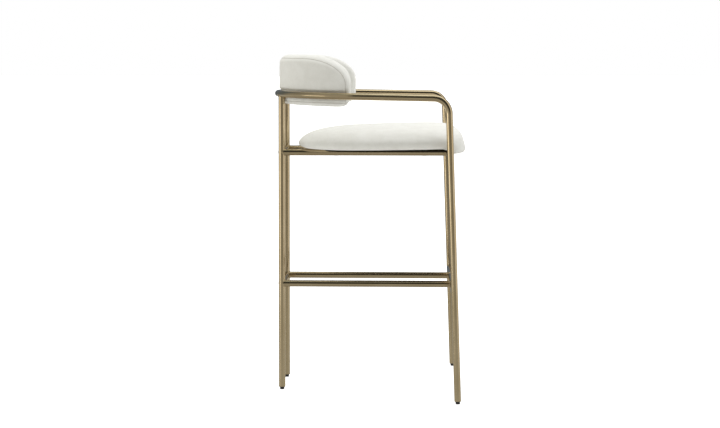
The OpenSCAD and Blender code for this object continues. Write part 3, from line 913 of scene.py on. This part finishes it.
def floor_material():
    """A pale matt floor that glows a little, so that it meets the white backdrop without a line."""
    made, nodes, place, shader = material("studio_floor")
    cloud = nodes.noise(place.outputs["Object"], 3.0)
    nodes.fill(
        shader,
        Base_Color=nodes.blend(cloud, FLOOR_DARK, FLOOR_LIGHT),
        Roughness=0.9,
        Specular_IOR_Level=0.0,
        Emission_Color=(1, 1, 1, 1),
        Emission_Strength=FLOOR_GLOW,
    )
    return made


corners = [(x * FLOOR_HALF, y * FLOOR_HALF, 0) for x, y in ((-1, -1), (1, -1), (1, 1), (-1, 1))]
floor = new_mesh("floor", corners, [(0, 1, 2, 3)])
floor.data.materials.append(floor_material())
floor.visible_glossy = False
floor.visible_diffuse = False


BLUE_WALL = (0.14, 0.17, 0.20, 1)
DIM_WALL = (0.32, 0.32, 0.30, 1)
SIDE_WALL = (0.44, 0.435, 0.41, 1)
BLACK_GAP = (0.045, 0.045, 0.04, 1)
WHITE_WALL = (0.92, 0.91, 0.88, 1)
BACK_WALL = (0.15, 0.155, 0.155, 1)
BRIGHT_PANEL = (2.0, 1.96, 1.84, 1)
GREY_STRIP = (0.28, 0.275, 0.25, 1)
CEILING = (0.36, 0.41, 0.39, 1)
FAR_GROUND = (0.49, 0.495, 0.465, 1)
NEAR_GROUND = (0.39, 0.385, 0.36, 1)
FILL_REAR = (1.18, 1.16, 1.07, 1)
FILL_GAP = (0.22, 0.21, 0.19, 1)
FILL_FRONT = (1.36, 1.36, 1.33, 1)
FILL_ABOVE = (1.10, 1.10, 1.10, 1)
FILL_FLOOR = (0.44, 0.43, 0.40, 1)
FILL_BELOW = (1.10, 1.09, 1.05, 1)

# Zones round the room, as (middle of the change, half its width, colour past it), in degrees of turn
WALLS = (
    (-120.0, 14.0, DIM_WALL), (-82.0, 6.0, SIDE_WALL), (-16.0, 3.0, BLACK_GAP),
    (50.0, 5.0, WHITE_WALL), (115.0, 12.0, BACK_WALL),
)
SKIRTING = (
    (-120.0, 14.0, SIDE_WALL), (-82.0, 5.0, BRIGHT_PANEL), (-48.0, 4.0, SIDE_WALL),
    (-16.0, 3.0, GREY_STRIP), (50.0, 5.0, WHITE_WALL), (125.0, 12.0, SIDE_WALL),
)


def studio_light():
    """A studio room: what the metal mirrors, a broad fill for all else, and a plain white backdrop.

    The turn is 0 on the photo's side, where the camera stands, and grows towards the sitter's front.
    """
    world = bpy.data.worlds.new("studio")
    scene.world = world
    nodes = Nodes(world)
    x, y, z = nodes.separate(nodes.add("ShaderNodeTexCoord").outputs["Generated"])
    turn = nodes.maths("ARCTAN2", nodes.times(y, -1.0), nodes.times(x, -1.0))
    turn = nodes.maths("DEGREES", turn)
    lift = nodes.maths("DEGREES", nodes.maths("ARCSINE", z))

    def zones(value, colour, *changes):
        for edge, soft, following in changes:
            colour = nodes.blend(nodes.step(value, edge - soft, edge + soft), colour, following)
        return colour

    walls = zones(turn, BLUE_WALL, *WALLS)
    skirting = zones(turn, BLUE_WALL, *SKIRTING)
    ground = zones(lift, NEAR_GROUND, (-28.0, 8.0, FAR_GROUND))
    above = zones(lift, skirting, (1.0, 2.0, walls), (56.0, 5.0, CEILING))
    mirrored = zones(lift, ground, (-8.5, 2.5, above))
    fill_walls = zones(turn, FILL_REAR, (-25.0, 15.0, FILL_GAP), (45.0, 15.0, FILL_FRONT))
    fill_above = zones(lift, fill_walls, (45.0, 25.0, FILL_ABOVE))
    fill = zones(lift, FILL_BELOW, (-30.0, 8.0, FILL_FLOOR))
    fill = zones(lift, fill, (-4.0, 6.0, fill_above))
    seen = nodes.add("ShaderNodeLightPath")
    lit = nodes.blend(seen.outputs["Is Glossy Ray"], fill, mirrored)
    shown = nodes.blend(seen.outputs["Is Camera Ray"], lit, (1, 1, 1, 1))
    background = nodes.add("ShaderNodeBackground", Color=shown, Strength=1.0)
    nodes.add("ShaderNodeOutputWorld", Surface=background.outputs[0])


def soft_light(name, place, aim, size, power):
    """A square lamp of a size in metres and a power in watts."""
    data = bpy.data.lights.new(name, "AREA")
    data.shape = "SQUARE"
    data.size = size
    data.energy = power
    lamp = bpy.data.objects.new(name, data)
    scene.collection.objects.link(lamp)
    lamp.location = place
    lamp.rotation_mode = "QUATERNION"
    lamp.rotation_quaternion = (Vector(aim) - Vector(place)).to_track_quat("-Z", "Y")


studio_light()
soft_light("ceiling_light", (0.3, -0.6, 3.2), (0, 0, 0.6), 2.4, 20.0)

# The camera stands off the sitter's right side and looks a little back and down. Angles are in radians.
CAMERA_BACK = 4.540
CAMERA_REACH = 0.3777
CAMERA_Z = 0.964
CAMERA_YAW = 0.0314
CAMERA_TILT = 0.1021
CAMERA_LENS = 78.63
CAMERA_SENSOR = 36.0
CAMERA_SEES_TO = 200.0
camera_data = bpy.data.cameras.new("camera")
camera_data.lens = CAMERA_LENS
camera_data.sensor_width = CAMERA_SENSOR
camera_data.clip_end = CAMERA_SEES_TO
camera = bpy.data.objects.new("camera", camera_data)
scene.collection.objects.link(camera)
camera.location = (-CAMERA_BACK, REAR_Y - CAMERA_REACH, CAMERA_Z)
camera.rotation_mode = "QUATERNION"
aim = Vector((math.cos(CAMERA_YAW), math.sin(CAMERA_YAW), -math.tan(CAMERA_TILT)))
camera.rotation_quaternion = aim.to_track_quat("-Z", "Y")
scene.camera = camera
scene.view_settings.view_transform = "Standard"
